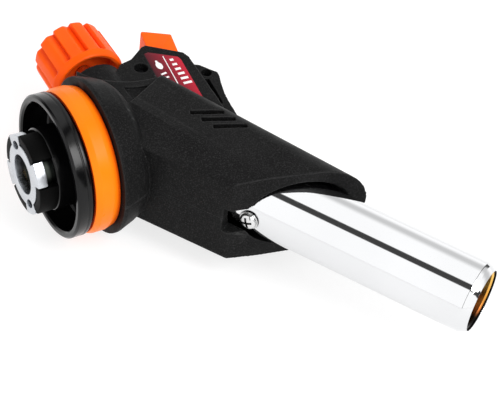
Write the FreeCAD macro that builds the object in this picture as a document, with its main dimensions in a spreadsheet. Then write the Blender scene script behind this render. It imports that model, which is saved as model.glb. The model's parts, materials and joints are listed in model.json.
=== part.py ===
"""Bayonet gas torch head, lying on its side, in millimetres.

+X runs along the can axis, from the can into the body, and the origin is the centre of the
socket cup's rim. The knob points along +Y, the burner leans towards -Y, and +Z is the label
side. The housing parts at the plane Z = 0.
"""
import FreeCAD, Part
import math
import os
import Sketcher

Vector = FreeCAD.Vector

SIZES = {
    "cup_radius": 22.0, "cup_bore": 19.7, "cup_floor": 9.0, "cup_lip": 4.5,
    "spigot_radius": 20.4, "spigot_end": 17.0, "hub_radius": 12.5, "hub_bore": 8.2,
    "hub_front": -2.0, "crown_front": -7.8,
    "insert_front": -8.1, "lug_thick": 3.2, "lug_radius": 12.2, "disc_radius": 9.4,
    "insert_boss": 8.1, "insert_bore": 6.1, "lug_angle": 52.0, "lug_width": 7.2,
    "trim_bore": 20.5, "trim_radius": 22.3, "trim_rear": 5.6, "trim_front": 13.5,
    "pin_radius": 1.6, "seal_thick": 3.0,
    "knob_station": 27.9, "knob_near": 30.0, "knob_far": 47.0, "knob_radius": 11.9,
    "knob_recess": 9.7, "flute_count": 12.0, "boss_radius": 9.5, "boss_end": 27.5,
    "shaft_radius": 2.5, "needle_radius": 4.0,
    "burner_station": 32.4, "burner_angle": -58.56, "burner_radius": 10.95, "burner_wall": 0.8,
    "burner_start": 33.0, "burner_end": 113.0, "mouth_radius": 9.34,
    "liner_radius": 9.2, "liner_wall": 0.5, "liner_start": 62.0,
    "mixer_radius": 5.2, "mixer_wall": 0.7, "air_hole": 1.6,
    "screw_station": 42.5, "screw_head": 3.0, "screw_shank": 1.5,
    "hood_start": -4.5, "hood_long": 77.0, "hood_wall": 2.0,
    "fin_half": 8.0, "core_half": 5.0, "channel_half": 5.3, "gusset_half": 13.4,
    "split_gap": 0.05, "trigger_half": 5.0,
    "vent_width": 1.9, "vent_long": 10.4, "vent_count": 3.0,
    "igniter_radius": 4.5, "igniter_start": 6.5, "igniter_end": 24.0, "plunger_radius": 2.4,
    "spring_radius": 3.3, "spring_wire": 0.35, "spring_turns": 5.0,
    "electrode_offset": 7.6, "electrode_radius": 0.6, "insulator_radius": 1.5,
    "lead_radius": 0.9, "label_thick": 0.5,
    "post_radius": 3.4, "screw_hole": 2.25, "sink_depth": 4.0,
    "valve_radius": 7.0, "valve_start": 11.7, "valve_end": 32.7, "valve_neck": 6.5,
    "valve_top": 16.0, "outlet_radius": 4.0, "passage_radius": 1.5, "seat_radius": 1.2,
    "gland_radius": 7.2, "gland_thick": 3.4, "knob_screw_head": 3.4, "knob_screw_shank": 1.2,
    "holder_hole": 0.9, "holder_station": 84.0, "holder_thick": 1.2,
    "recess_depth": 1.0, "label_floor": 7.4,
}

doc = FreeCAD.newDocument("torch")
sheet = doc.addObject("Spreadsheet::Sheet", "dim")
for row, (alias, value) in enumerate(SIZES.items(), start=1):
    sheet.set("A%d" % row, alias)
    sheet.set("B%d" % row, str(value))
    sheet.setAlias("B%d" % row, alias)
doc.recompute()


def size(alias):
    """The sheet's value of one driving dimension."""
    return float(sheet.get(alias))


# ---- frames: each has local Z along a working axis and local Y up ----

UP = Vector(0, 0, 1)


def frame(origin, along):
    """A placement at origin whose local Z points along the given direction and local Y up."""
    along = Vector(along).normalize()
    return FreeCAD.Placement(origin, FreeCAD.Rotation(UP.cross(along), UP, along))


BURNER_ANGLE = math.radians(size("burner_angle"))
CAN = frame(Vector(0, 0, 0), Vector(1, 0, 0))
KNOB = frame(Vector(size("knob_station"), 0, 0), Vector(0, 1, 0))
BURNER = frame(Vector(size("burner_station"), 0, 0),
               Vector(math.cos(BURNER_ANGLE), math.sin(BURNER_ANGLE), 0))
TRIGGER_AXIS = Vector(-0.2, -0.98, 0).normalize()
PRESS = frame(Vector(52.15, 25.7, 0), TRIGGER_AXIS)
LEVEL = FreeCAD.Placement()


def in_frame(where, x=0.0, y=0.0, z=0.0, turn=0.0):
    """A placement inside a frame: moved by x, y, z and turned about the local Z."""
    return where.multiply(FreeCAD.Placement(Vector(x, y, z),
                                            FreeCAD.Rotation(Vector(0, 0, 1), turn)))


# ---- building blocks ----

nodes = []


def node(piece, label):
    """Name a finished piece, which is then written to its own file."""
    piece.Label = label
    nodes.append(piece)
    return piece


def bind(piece, **sizes):
    """Bind a piece's properties to expressions of the sheet."""
    for name, expression in sizes.items():
        piece.setExpression(name, str(expression))
    return piece


def rod(name, where, radius, length, **place):
    """A round bar along the frame's Z."""
    bar = doc.addObject("Part::Cylinder", name)
    bar.Placement = in_frame(where, **place)
    return bind(bar, Radius=radius, Height=length)


def block(name, where, length, width, height, **place):
    """A box with its corner at the frame's own place."""
    box = doc.addObject("Part::Box", name)
    box.Placement = in_frame(where, **place)
    return bind(box, Length=length, Width=width, Height=height)


def cut(name, base, tool):
    result = doc.addObject("Part::Cut", name)
    result.Base = base
    result.Tool = tool
    return result


def join(name, *pieces):
    result = doc.addObject("Part::MultiFuse", name)
    result.Shapes = list(pieces)
    return result


def common(name, *pieces):
    result = doc.addObject("Part::MultiCommon", name)
    result.Shapes = list(pieces)
    return result


def origin_plane(body, role):
    for feature in body.Origin.OriginFeatures:
        if feature.Role == role:
            return feature
    raise ValueError(role)


def outline_sketch(body, role, corners):
    """A closed sketch of straight sides, whose corners are pairs of sheet expressions."""
    sketch = body.newObject("Sketcher::SketchObject", body.Name + "_outline")
    sketch.AttachmentSupport = (origin_plane(body, role), "")
    sketch.MapMode = "FlatFace"
    count = len(corners)
    for index in range(count):
        start = 2 * math.pi * index / count
        stop = 2 * math.pi * (index + 1) / count
        sketch.addGeometry(Part.LineSegment(
            Vector(20 + 10 * math.cos(start), 10 * math.sin(start), 0),
            Vector(20 + 10 * math.cos(stop), 10 * math.sin(stop), 0)), False)
    for index in range(count):
        sketch.addConstraint(Sketcher.Constraint("Coincident", index, 2, (index + 1) % count, 1))
    for index, corner in enumerate(corners):
        for kind, expression in zip(("DistanceX", "DistanceY"), corner):
            row = sketch.addConstraint(Sketcher.Constraint(kind, -1, 1, index, 1, 1.0))
            sketch.setExpression("Constraints[%d]" % row, str(expression))
    return sketch


def turned(name, where, corners):
    """A piece turned about the frame's Z from (radius, station) corners."""
    body = doc.addObject("PartDesign::Body", name)
    sketch = outline_sketch(body, "XZ_Plane", corners)
    turn = body.newObject("PartDesign::Revolution", name + "_turn")
    turn.Profile = sketch
    turn.ReferenceAxis = (sketch, ["V_Axis"])
    turn.Angle = 360.0
    body.Placement = where
    return body


def plate(name, corners, thickness):
    """A flat piece about Z = 0 from (x, y) corners."""
    body = doc.addObject("PartDesign::Body", name)
    sketch = outline_sketch(body, "XY_Plane", corners)
    pad = body.newObject("PartDesign::Pad", name + "_pad")
    pad.Profile = sketch
    pad.Midplane = True
    bind(pad, Length=thickness)
    return body


def ring_of(name, make, count, where):
    """Copies of a tool about the frame's Z, joined: make(name, placement) builds each."""
    copies = []
    for index in range(count):
        copies.append(make("%s_%d" % (name, index), in_frame(where, turn=360.0 * index / count)))
    return join(name, *copies)


def tangent_arc(before, corner, after, bend):
    """The arc that rounds a corner, with its two ends."""
    back = (before - corner).normalize()
    ahead = (after - corner).normalize()
    half = back.getAngle(ahead) / 2
    reach = bend / math.tan(half)
    middle = corner + (back + ahead).normalize() * (bend / math.sin(half) - bend)
    first = corner + back * reach
    last = corner + ahead * reach
    return first, Part.Arc(first, middle, last).toShape(), last


# ---- can socket ----

cup = turned("cup_ring", CAN, [
    ("dim.hub_bore", "dim.hub_front"), ("dim.hub_radius", "dim.hub_front"),
    ("dim.hub_radius", "dim.cup_floor"), ("dim.cup_bore", "dim.cup_floor"),
    ("dim.cup_bore", 0), ("dim.cup_radius", 0),
    ("dim.cup_radius", "dim.cup_lip"), ("dim.spigot_radius", "dim.cup_lip"),
    ("dim.spigot_radius", "dim.spigot_end"), ("dim.spigot_radius - 2.2", "dim.spigot_end"),
    ("dim.spigot_radius - 2.2", "dim.cup_floor + 2.5"), ("dim.hub_bore", "dim.cup_floor + 2.5")])
crown_ring = turned("crown_ring", CAN, [
    ("dim.disc_radius + 0.1", "dim.hub_front + 0.5"), ("dim.disc_radius + 0.1", "dim.crown_front"),
    ("dim.hub_radius", "dim.crown_front"), ("dim.hub_radius", "dim.hub_front + 0.5")])
LUGS = in_frame(CAN, turn=size("lug_angle"))
lug_gaps = ring_of("lug_gaps", lambda name, where: block(
    name, where, "dim.hub_radius + 2", "dim.lug_width + 1.2", "-3.4 - dim.crown_front",
    y=-size("lug_width") / 2 - 0.6, z=size("crown_front") - 0.01), 4, LUGS)
crown = cut("crown", crown_ring, lug_gaps)
node(join("socket_cup_moulding", cup, crown), "socket_cup")

insert_disc = turned("insert_disc", CAN, [
    ("dim.insert_bore", "dim.insert_front"), ("dim.disc_radius", "dim.insert_front"),
    ("dim.disc_radius", "dim.insert_front + dim.lug_thick"),
    ("dim.insert_boss", "dim.insert_front + dim.lug_thick"),
    ("dim.insert_boss", "dim.cup_floor + 2.5"), ("dim.insert_bore", "dim.cup_floor + 2.5")])
lug_bars = ring_of("lug_bars", lambda name, where: block(
    name, where, "dim.lug_radius - dim.insert_bore - 1", "dim.lug_width", "dim.lug_thick",
    x=size("insert_bore") + 1, y=-size("lug_width") / 2, z=size("insert_front")), 4, LUGS)
lug_round = rod("lug_round", CAN, "dim.lug_radius", "dim.lug_thick", z=size("insert_front"))
lugs = common("lugs", lug_bars, lug_round)
oval_holes = ring_of("oval_holes", lambda name, where: join(
    name, *[rod("%s_%s" % (name, side), in_frame(where, x=9.0, y=offset, z=size("insert_front") - 1),
                0.85, "dim.lug_thick + 2") for side, offset in (("a", -0.8), ("b", 0.8))]), 2, LUGS)
insert_solid = join("insert_solid", insert_disc, lugs)
node(cut("bayonet_insert_casting", insert_solid, oval_holes), "bayonet_insert")

node(turned("trim_ring_moulding", CAN, [
    ("dim.trim_bore", "dim.trim_rear"), ("dim.trim_radius - 0.5", "dim.trim_rear"),
    ("dim.trim_radius", "dim.trim_rear + 2.6"), ("dim.trim_radius", "dim.trim_front - 0.5"),
    ("dim.trim_radius - 0.5", "dim.trim_front"), ("dim.trim_bore", "dim.trim_front")]), "trim_ring")

node(turned("inlet_pin_turning", CAN, [
    (0.6, -1.0), ("dim.pin_radius", -0.5), ("dim.pin_radius", 9.6), (5.0, 9.6), (5.0, 11.6),
    (0.6, 11.6)]), "inlet_pin")
node(turned("inlet_seal_moulding", CAN, [
    ("dim.pin_radius + 0.1", 4.0), ("dim.insert_bore - 0.1", 4.0),
    ("dim.insert_bore - 0.1", "4.0 + dim.seal_thick"),
    ("dim.pin_radius + 0.1", "4.0 + dim.seal_thick")]), "inlet_seal")

# ---- gas valve ----

valve_bar = rod("valve_bar", CAN, "dim.valve_radius", "dim.valve_end - dim.valve_start",
                z=size("valve_start"))
valve_neck = rod("valve_neck", KNOB, "dim.valve_neck", "dim.valve_top")
valve_outlet = rod("valve_outlet", BURNER, "dim.outlet_radius", 10.0)
valve_solid = join("valve_solid", valve_bar, valve_neck, valve_outlet)
valve_bores = join(
    "valve_bores",
    rod("inlet_passage", CAN, "dim.passage_radius", 16.3, z=size("valve_start") - 0.1),
    rod("needle_bore", KNOB, "dim.needle_radius + 0.05", 17.0, z=2.0),
    rod("seat_bore", KNOB, "dim.seat_radius", 4.0, z=-1.0),
    rod("outlet_passage", BURNER, "dim.seat_radius", 12.0, z=-1.0))
node(cut("valve_body_casting", valve_solid, valve_bores), "valve_body")

node(turned("needle_turning", KNOB, [
    (0, 1.0), (1.1, 2.4), (1.1, 3.4), ("dim.needle_radius", 3.4), ("dim.needle_radius", 13.2),
    ("dim.shaft_radius", 13.2), ("dim.shaft_radius", 42.0), (1.25, 42.0), (1.25, 36.0),
    (0, 36.0)]), "needle_spindle")
gland_hex = doc.addObject("Part::Prism", "gland_hex")
gland_hex.Polygon = 6
gland_hex.Placement = in_frame(KNOB, z=size("valve_top") + 0.05)
bind(gland_hex, Circumradius="dim.gland_radius", Height="dim.gland_thick")
gland_bore = rod("gland_bore", KNOB, "dim.shaft_radius + 0.05", 5.0, z=15.5)
node(cut("gland_nut_turning", gland_hex, gland_bore), "gland_nut")
spindle_ring = doc.addObject("Part::Torus", "spindle_ring")
spindle_ring.Placement = in_frame(KNOB, z=15.3)
bind(spindle_ring, Radius1=3.28, Radius2=0.65)
node(spindle_ring, "spindle_seal")

# ---- knob: saw-tooth flutes round a hollow skirt ----

knob_blank = turned("knob_blank", KNOB, [
    ("dim.shaft_radius + 0.05", "dim.knob_near + 6"), ("dim.knob_recess", "dim.knob_near + 6"),
    ("dim.knob_recess", "dim.knob_near"), ("dim.knob_radius - 0.9", "dim.knob_near"),
    ("dim.knob_radius", "dim.knob_near + 1.8"), ("dim.knob_radius - 0.1", "dim.knob_far - 1.2"),
    ("dim.knob_radius - 1.2", "dim.knob_far"), (8.0, "dim.knob_far"), (8.0, "dim.knob_far - 2"),
    ("dim.shaft_radius + 0.05", "dim.knob_far - 2")])
flutes = ring_of("flutes", lambda name, where: block(
    name, in_frame(where, x=size("knob_radius") - 0.95, y=0.0, z=size("knob_near") + 3.2, turn=-13.0),
    4.0, 7.0, 20.0), int(size("flute_count")), KNOB)
node(cut("control_knob_moulding", knob_blank, flutes), "control_knob")
node(join("knob_screw_turning",
          rod("knob_screw_head", KNOB, "dim.knob_screw_head", 1.6, z=size("knob_far") - 2.0),
          rod("knob_screw_shank", KNOB, "dim.knob_screw_shank", 7.0, z=size("knob_far") - 9.0)),
     "knob_screw")

# ---- burner ----

node(turned("gas_pipe_turning", BURNER, [
    (1.4, 10.05), (2.4, 10.05), (2.4, 16.0), (1.4, 16.0)]), "gas_pipe")
node(turned("jet_nozzle_turning", BURNER, [
    (2.45, 14.0), (3.6, 14.0), (3.6, 17.0), (1.2, 20.0), (0.25, 20.0), (0.25, 16.1), (2.45, 16.1)]),
    "jet_nozzle")
mixer_blank = turned("mixer_blank", BURNER, [
    ("dim.mixer_radius - dim.mixer_wall", 17.5), ("dim.mixer_radius", 17.5),
    ("dim.mixer_radius", 56.0), ("dim.mixer_radius + 1.3", 60.0), ("dim.mixer_radius + 1.3", 66.0),
    ("dim.mixer_radius + 0.6", 66.0), ("dim.mixer_radius + 0.6", 60.2),
    ("dim.mixer_radius - dim.mixer_wall", 56.2)])
air_drills = join("air_drills", *[
    rod("air_drill_%s" % side, frame(BURNER.multVec(Vector(0, 0, 24.0)), direction),
        "dim.air_hole", 14.0, z=-7.0)
    for side, direction in (("a", BURNER.Rotation.multVec(Vector(1, 0, 0))),
                            ("b", BURNER.Rotation.multVec(Vector(1, 0, 0.6))))])
node(cut("mixing_tube_turning", mixer_blank, air_drills), "mixing_tube")

collar_blank = turned("collar_blank", BURNER, [
    ("dim.mixer_radius + 0.05", 34.0), ("dim.burner_radius - dim.burner_wall - 0.05", 34.0),
    ("dim.burner_radius - dim.burner_wall - 0.05", 46.0), ("dim.mixer_radius + 0.05", 46.0)])
screw_place = BURNER.multVec(Vector(0, 0, size("screw_station")))
SCREW = frame(screw_place, BURNER.Rotation.multVec(Vector(-1, 0, 0)))
collar_bores = join(
    "collar_bores",
    rod("screw_tapping", SCREW, "dim.screw_shank", 14.0),
    rod("insulator_hole", BURNER, "dim.insulator_radius + 0.05", 14.0,
        x=size("electrode_offset"), z=33.0))
node(cut("burner_collar_casting", collar_blank, collar_bores), "burner_collar")

burner_blank = turned("burner_blank", BURNER, [
    ("dim.burner_radius - dim.burner_wall", "dim.burner_start"),
    ("dim.burner_radius", "dim.burner_start"), ("dim.burner_radius", "dim.burner_end - 6.2"),
    ("dim.burner_radius - 0.45", "dim.burner_end - 3.2"),
    ("dim.burner_radius - 1.0", "dim.burner_end - 0.9"),
    ("dim.burner_radius - 1.4", "dim.burner_end"), ("dim.mouth_radius", "dim.burner_end"),
    ("dim.mouth_radius", "dim.burner_end - 1.2"),
    ("dim.burner_radius - dim.burner_wall - 0.3", "dim.burner_end - 3.2"),
    ("dim.burner_radius - dim.burner_wall", "dim.burner_end - 6.0")])
burner_drill = rod("burner_drill", SCREW, "dim.screw_shank + 0.1", 14.0)
node(cut("burner_tube_tube", burner_blank, burner_drill), "burner_tube")

node(turned("flame_tube_tube", BURNER, [
    ("dim.liner_radius - dim.liner_wall", "dim.liner_start"),
    ("dim.burner_radius - dim.burner_wall - 0.05", "dim.liner_start"),
    ("dim.burner_radius - dim.burner_wall - 0.05", "dim.liner_start + 1"),
    ("dim.liner_radius", "dim.liner_start + 1"), ("dim.liner_radius", "dim.burner_end - 1.4"),
    ("dim.liner_radius - dim.liner_wall", "dim.burner_end - 1.4")]), "flame_tube")
holder_disc = rod("holder_disc", BURNER, "dim.liner_radius - dim.liner_wall - 0.03",
                  "dim.holder_thick", z=size("holder_station"))
DRILL_START = size("holder_station") - 1.0
holder_rings = [rod("holder_centre", BURNER, "dim.holder_hole", 3.0, z=DRILL_START)]
for ring_radius, hole_count in ((3.2, 6), (6.4, 12)):
    holder_rings.append(ring_of("holder_holes_%d" % hole_count, lambda name, where: rod(
        name, where, "dim.holder_hole", 3.0, x=ring_radius, z=DRILL_START), hole_count, BURNER))
holder_holes = join("holder_holes", *holder_rings)
node(cut("flame_holder_disc", holder_disc, holder_holes), "flame_holder")

screw_head = turned("screw_head_turning", SCREW, [
    (0, "dim.burner_radius + 0.1"), ("dim.screw_head", "dim.burner_radius + 0.1"),
    ("dim.screw_head", "dim.burner_radius + 1.2"), ("dim.screw_head - 1", "dim.burner_radius + 2.1"),
    (0, "dim.burner_radius + 2.1")])
screw_stem = rod("screw_stem", SCREW, "dim.screw_shank - 0.05", 5.0, z=7.0)
cross_slots = join("cross_slots", *[
    block("cross_slot_%d" % turn, in_frame(SCREW, turn=turn), 3.4, 0.6, 3.0,
          x=-1.7, y=-0.3, z=size("burner_radius") + 0.9) for turn in (20, 110)])
node(cut("tube_screw_turning", join("tube_screw_blank", screw_head, screw_stem), cross_slots),
     "tube_screw")

# ---- ignition ----

TRIGGER_OUTLINE = [(50.7, 42.4), (59.4, 37.5), (56.8, 24.76), (47.5, 26.7)]
trigger_block = plate("trigger_block", TRIGGER_OUTLINE, "2 * dim.trigger_half")
trigger_pocket = rod("trigger_pocket", PRESS, 4.0, 3.2, z=-3.0)
node(cut("trigger_moulding", trigger_block, trigger_pocket), "trigger")
node(rod("igniter_plunger_pin", PRESS, "dim.plunger_radius", 11.0, z=-3.0), "igniter_plunger")

igniter_case = rod("igniter_case", PRESS, "dim.igniter_radius",
                   "dim.igniter_end - dim.igniter_start", z=size("igniter_start"))
igniter_bore = rod("igniter_bore", PRESS, "dim.plunger_radius + 0.05", 9.0,
                   z=size("igniter_start") - 1.0)
node(cut("igniter_body_case", igniter_case, igniter_bore), "igniter_body")

spring_rise = size("igniter_start") + 3.0 - 2 * size("spring_wire")
spring_turns = size("spring_turns")
spring_path = Part.makeHelix(spring_rise / spring_turns, spring_rise, size("spring_radius"))
spring_disc = Part.Wire(Part.Circle(Vector(size("spring_radius"), 0, 0), Vector(0, 1, 0.2),
                                    size("spring_wire")).toShape())
spring = doc.addObject("Part::Feature", "return_spring_wire")
spring.Shape = Part.Wire(spring_path).makePipeShell([spring_disc], True, True)
spring.Placement = in_frame(PRESS, z=size("spring_wire") - 3.0)
node(spring, "return_spring")

LEAD_ROUTE = [(47.3, 1.9), (46.9, -6.0), (50.2, -14.2), (54.3, -21.0)]


def rounded_route(points, bend):
    """Straight runs joined by tangent arcs of one radius."""
    edges = []
    start = points[0]
    for before, corner, after in zip(points, points[1:], points[2:]):
        first, arc, last = tangent_arc(before, corner, after, bend)
        edges.append(Part.LineSegment(start, first).toShape())
        edges.append(arc)
        start = last
    edges.append(Part.LineSegment(start, points[-1]).toShape())
    return Part.Wire(edges)


lead_wire = rounded_route([Vector(x, y, 0) for x, y in LEAD_ROUTE], 5.0)
lead_start = lead_wire.Edges[0].tangentAt(0)
lead_disc = Part.Wire(Part.Circle(Vector(*LEAD_ROUTE[0], 0), lead_start,
                                  size("lead_radius")).toShape())
lead = doc.addObject("Part::Feature", "ignition_lead_wire")
lead.Shape = lead_wire.makePipeShell([lead_disc], True, False)
node(lead, "ignition_lead")

node(turned("electrode_insulator_tube", in_frame(BURNER, x=size("electrode_offset")), [
    ("dim.electrode_radius + 0.05", 31.0), ("dim.insulator_radius", 31.0),
    ("dim.insulator_radius", 58.0), ("dim.electrode_radius + 0.05", 58.0)]), "electrode_insulator")
node(rod("electrode_wire", BURNER, "dim.electrode_radius", 52.0,
         x=size("electrode_offset"), z=30.0), "electrode")

# ---- housing: neck, hood, fin, core and knob boss, hollowed and split ----

FIN_OUTLINE = [(30, 4), (24, 14), (35.9, 26.7), (40.2, 27.7), (45.7, 31.8), (47.3, 32.3),
               (57.0, 24.9), (57.8, 22.4), (57.0, 1.0), (56.0, -12.0), (40, -14)]
CORE_OUTLINE = [(52, 22), (57.8, 22.4), (60.9, 20.7), (63.1, 17.5), (64.6, 15.6), (64.5, 13.9),
                (63.4, 10.7), (62.0, 5.6), (61.4, 1.7), (60.9, -4.0), (58, -20), (50, -10)]
FIN_CAVITY = [(34, 6), (38.5, 24.3), (44.0, 28.5), (47.2, 31.2), (47.9, 29.0), (46.6, 22.0),
              (57.2, 20.6), (54.6, -6.0), (40, -10)]
TRIGGER_CHANNEL = [(46.9, 25.0), (49.4, 37.0), (60.4, 40.0), (55.9, 18.6), (46.0, 20.0)]
GUSSET_OUTLINE = [(16, 14), (19.2, 23.0), (20.4, 20.9), (22.2, 18.6), (24.6, 16.5), (28.4, 14.1),
                  (32.4, 12.5), (36.8, 11.7), (41.6, 11.4), (42, 0), (30, -8), (22.6, -13.5), (18, -14)]
GUSSET_CAVITY = [(17, 12), (24, 12.0), (30, 9.0), (36, 6.5), (30, -5), (20, -9)]
RECESS_OUTLINE = [(29.2, 10.9), (33.0, 9.6), (37.4, 9.0), (29.6, 4.4)]
SLOT_OUTLINE = [(57.9, 14.5), (60.6, 13.6), (60.1, 8.0), (59.3, 1.6), (57.5, 1.6)]
LABEL_OUTLINE = [(45.1, 28.6), (46.6, 28.8), (54.5, 23.5), (54.8, 22.0), (52.7, 1.5), (51.6, 1.6),
                 (43.8, 12.4), (43.9, 17.4)]
VENT_START = Vector(41.6, -8.4, 0)
VENT_DIRECTION = Vector(0.954, -0.30, 0)
VENT_STEP = Vector(1.75, -4.05, 0)
FRONT_LOW = Vector(39.2, -41.0, 0)
FRONT_HIGH = Vector(79.5, -49.0, 0)

# One side of the tunnel's section, (up, half width, bend) at its bottom edge, its crease and its
# shoulder, first where the hood starts and then where it ends.
HOOD_REAR = [(-17.9, 14.0, 0.7), (-1.0, 15.4, 0.0), (16.2, 14.3, 4.5)]
HOOD_FRONT = [(-14.0, 16.4, 1.6), (-10.3, 16.2, 0.0), (15.7, 15.3, 15.0)]


def hood_section(station, shrink):
    """The tunnel's creased and rounded section at one station along the burner, as a wire."""
    share = (station - size("hood_start")) / size("hood_long")
    side = []
    for rear, front in zip(HOOD_REAR, HOOD_FRONT):
        up, half, bend = [a + (b - a) * share for a, b in zip(rear, front)]
        side.append((up, half - shrink, max(bend - shrink, 0.4) if bend else 0.0))
    low, crease, high = side
    low = (low[0] + shrink, low[1], low[2])
    high = (high[0] - shrink, high[1], high[2])
    corners = [low, crease, high, *[(up, -half, bend) for up, half, bend in (high, crease, low)]]
    points = [Vector(up, half, station) for up, half, bend in corners]
    runs = []
    for index, (up, half, bend) in enumerate(corners):
        before, corner, after = points[index - 1], points[index], points[(index + 1) % len(points)]
        runs.append(tangent_arc(before, corner, after, bend) if bend else (corner, None, corner))
    edges = []
    for index, (first, arc, last) in enumerate(runs):
        if arc:
            edges.append(arc)
        edges.append(Part.LineSegment(last, runs[(index + 1) % len(runs)][0]).toShape())
    return Part.Wire(edges)


def hood_tunnel(name, shrink):
    """The tunnel round the burner as a loft between its two end sections."""
    ends = []
    first = size("hood_start") + shrink
    last = size("hood_start") + size("hood_long")
    for index, station in enumerate((first, last)):
        section = doc.addObject("Part::Feature", "%s_section_%d" % (name, index))
        section.Shape = hood_section(station, shrink)
        section.Placement = BURNER
        ends.append(section)
    tunnel = doc.addObject("Part::Loft", name)
    tunnel.Sections = ends
    tunnel.Solid = True
    tunnel.Ruled = True
    return tunnel


def both_sides(name, corners, half, depth):
    """A pocket's tool on each side of the plane Z = 0, sunk to a depth below the half width."""
    tools = []
    for side, ending in ((-1, "far"), (1, "near")):
        tool = plate("%s_%s" % (name, ending), corners, 2 * depth)
        tool.Placement = FreeCAD.Placement(Vector(0, 0, side * half), FreeCAD.Rotation())
        tools.append(tool)
    return tools


front_slope = math.degrees(math.atan2(FRONT_HIGH.y - FRONT_LOW.y, FRONT_HIGH.x - FRONT_LOW.x))
front_end = block("front_end", FreeCAD.Placement(
    FRONT_LOW, FreeCAD.Rotation(Vector(0, 0, 1), front_slope)), 120, 80, 80, x=-60, y=-80, z=-40)
front_trim_inner = block("front_trim_inner", FreeCAD.Placement(
    FRONT_LOW, FreeCAD.Rotation(Vector(0, 0, 1), front_slope)), 120, 80, 80, x=-60, y=-75.5, z=-40)

neck = turned("neck", CAN, [
    (0, 13.7), (24.2, 13.7), (24.2, 14.9), (23.4, 17.0), (22.5, 19.5), (21.4, 21.8),
    (20.2, 23.1), (18.6, 24.1), (16.4, 25.3), (14.0, 26.4), (0, 28.5)])
neck_cavity = turned("neck_cavity", CAN, [
    (0, 13.0), ("dim.spigot_radius + 0.1", 13.0), ("dim.spigot_radius + 0.1", 19.2),
    (16.6, 22.9), (11.5, 26.0), (0, 26.6)])
knob_boss = rod("knob_boss", KNOB, "dim.boss_radius", "dim.boss_end")
boss_cavity = rod("boss_cavity", KNOB, "dim.boss_radius - 1.6", "dim.boss_end - 2")
boss_hole = rod("boss_hole", KNOB, "dim.shaft_radius + 0.5", 6.0, z=size("boss_end") - 4.0)

fin = plate("fin", FIN_OUTLINE, "2 * dim.fin_half")
core = plate("core", CORE_OUTLINE, "2 * dim.core_half")
core_slots = join("core_slots", *both_sides("core_slot", SLOT_OUTLINE, size("core_half"), 2.5))
core_slotted = cut("core_slotted", core, core_slots)
gusset = plate("gusset", GUSSET_OUTLINE, "2 * dim.gusset_half")
hood_outer = cut("hood_outer", hood_tunnel("hood_loft", 0.0), front_end)
hood_cavity = cut("hood_cavity", hood_tunnel("hood_core", size("hood_wall")), front_trim_inner)
mouth_bore = rod("mouth_bore", BURNER, "dim.burner_radius + 1.3", 60.0, z=30.0)
screw_notch = block("screw_notch", BURNER, 8.0, 9.0, 14.0, x=-18.5, y=-4.5, z=36.1)

body_outer = join("body_outer", neck, knob_boss, fin, core_slotted, gusset)
outer = join("housing_outer", body_outer, hood_outer)
fin_cavity = plate("fin_cavity", FIN_CAVITY, "2 * dim.channel_half")
trigger_channel = plate("trigger_channel", TRIGGER_CHANNEL, "2 * dim.channel_half")
gusset_cavity = plate("gusset_cavity", GUSSET_CAVITY, "2 * dim.gusset_half - 7")
recesses = both_sides("recess", RECESS_OUTLINE, size("gusset_half"), size("recess_depth"))
body_cavity = join("body_cavity", neck_cavity, boss_cavity, boss_hole, fin_cavity, trigger_channel,
                   gusset_cavity, *recesses)
hood_hollow = join("hood_hollow", hood_cavity, mouth_bore, screw_notch)
shell = cut("housing_shell", cut("housing_hollowed", outer, hood_hollow), body_cavity)

vents = []
for index in range(int(size("vent_count"))):
    place = VENT_START + VENT_STEP * index
    slope = math.degrees(math.atan2(VENT_DIRECTION.y, VENT_DIRECTION.x))
    vents.append(block("vent_%d" % index, FreeCAD.Placement(
        place, FreeCAD.Rotation(Vector(0, 0, 1), slope)),
        "dim.vent_long", "dim.vent_width", 60, y=-size("vent_width") / 2, z=-30))
label_recess = plate("label_recess", LABEL_OUTLINE, 2.0)
label_recess.Placement = FreeCAD.Placement(Vector(0, 0, size("label_floor") + 1.0), FreeCAD.Rotation())

# Each housing screw: its name, its place, the half width of the housing there and its sink's radius.
POSTS = [("fin_post", Vector(41.3, 22.8, 0), "dim.fin_half", "dim.screw_hole"),
         ("core_post", Vector(61.2, 16.5, 0), "dim.core_half", "dim.screw_hole - 0.5")]
post_drills = []
screws = []
for post, place, half, sink in POSTS:
    base = FreeCAD.Placement(place, FreeCAD.Rotation())
    head = in_frame(base, z=size(half.split(".")[1]) - size("sink_depth"))
    post_drills.append(rod(post + "_sink", head, sink, 10.0))
    post_drills.append(rod(post + "_pilot", head, 1.0, 12.0, z=-7.0))
    screws.append(join(post + "_screw", rod(post + "_screw_head", head, 1.7, 1.5, z=0.05),
                       rod(post + "_screw_shank", head, 0.95, 7.0, z=-6.5)))
fin_post = rod("fin_post", FreeCAD.Placement(POSTS[0][1], FreeCAD.Rotation()), "dim.post_radius",
               "2 * dim.fin_half", z=-size("fin_half"))
openings = join("housing_openings", *vents, label_recess, *post_drills)
casing = cut("housing_casing", join("housing_posted", shell, fin_post), openings)

upper_half = block("upper_half", LEVEL, 300, 300, 60, x=-100, y=-150, z=size("split_gap") / 2)
lower_half = block("lower_half", LEVEL, 300, 300, 60, x=-100, y=-150, z=-60 - size("split_gap") / 2)
node(common("housing_upper_moulding", casing, upper_half), "housing_upper")
node(common("housing_lower_moulding", casing, lower_half), "housing_lower")

label = plate("label_plate_sheet", LABEL_OUTLINE, "dim.label_thick")
label_level = size("label_floor") + size("label_thick") / 2 + 0.01
label.Placement = FreeCAD.Placement(Vector(0, 0, label_level), FreeCAD.Rotation())
node(label, "label_plate")
node(join("housing_screw_pair", *screws), "housing_screws")

# ---- write ----

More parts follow.
